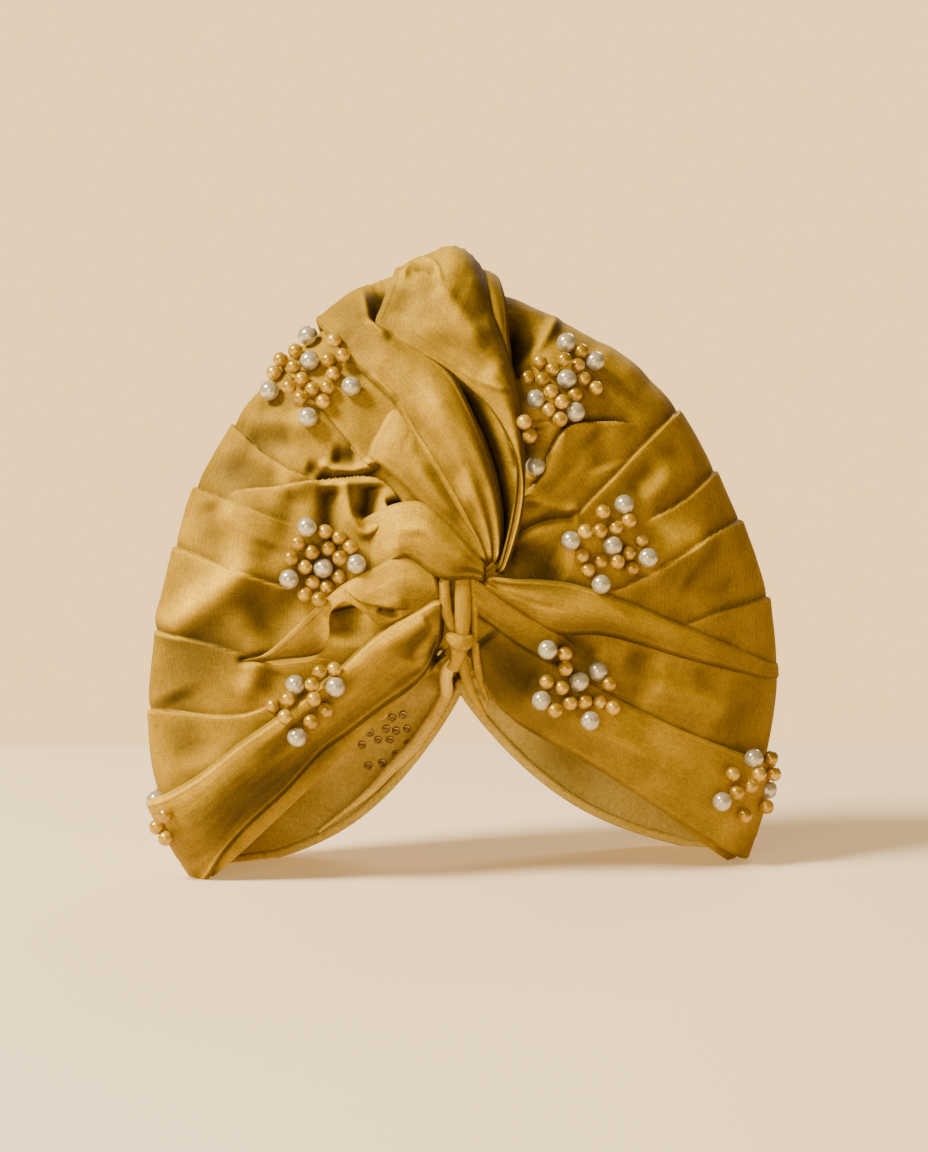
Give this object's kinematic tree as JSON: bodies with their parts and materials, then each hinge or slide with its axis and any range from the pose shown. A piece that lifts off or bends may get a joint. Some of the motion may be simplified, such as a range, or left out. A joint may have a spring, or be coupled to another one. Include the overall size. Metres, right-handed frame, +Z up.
{
  "type": "turban hat",
  "caption": "Pleated fabric turban with a twisted front drape, a tied band over the brow and clusters of pearls, standing on its hem.",
  "frame": {"origin": "on the floor, under the middle of the hat's box as it stands on its hem", "axes": "+Z up, -Y towards the front with the twist, +X towards the wearer's left as seen from the front"},
  "size_m": [0.2934, 0.1313, 0.2828],
  "materials": {
    "jersey": "soft matt",
    "pearl": "pearl lustre"
  },
  "bodies": {
    "root": {"band_left": "jersey", "band_right": "jersey", "crown": "jersey", "knot_wrap": "jersey", "lower_wrap": "jersey", "middle_drape": "jersey", "pearl_back_1": "pearl", "pearl_back_2": "pearl", "pearl_back_3": "pearl", "pearl_back_4": "pearl", "pearl_drape_side_1": "pearl", "pearl_low_left_1": "pearl", "pearl_low_left_2": "pearl", "pearl_low_left_3": "pearl", "pearl_low_right_1": "pearl", "pearl_low_right_2": "pearl", "pearl_low_right_3": "pearl", "pearl_low_right_4": "pearl", "pearl_low_right_5": "pearl", "pearl_mid_left_1": "pearl", "pearl_mid_left_2": "pearl", "pearl_mid_left_3": "pearl", "pearl_mid_left_4": "pearl", "pearl_mid_right_1": "pearl", "pearl_mid_right_2": "pearl", "pearl_mid_right_3": "pearl", "pearl_mid_right_4": "pearl", "pearl_mid_right_5": "pearl", "pearl_tip_left_1": "pearl", "pearl_tip_left_2": "pearl", "pearl_tip_right_1": "pearl", "pearl_tip_right_2": "pearl", "pearl_tip_right_3": "pearl", "pearl_top_left_1": "pearl", "pearl_top_left_2": "pearl", "pearl_top_left_3": "pearl", "pearl_top_left_4": "pearl", "pearl_top_left_5": "pearl", "pearl_top_right_1": "pearl", "pearl_top_right_2": "pearl", "pearl_top_right_3": "pearl", "pearl_top_right_4": "pearl", "pearl_top_right_5": "pearl", "tie_knot": "jersey", "tie_strand_left": "jersey", "tie_strand_middle": "jersey", "tie_strand_right": "jersey", "top_drape": "jersey", "under_drape": "jersey", "wrap_right": "jersey"}
  },
  "joints": []
}
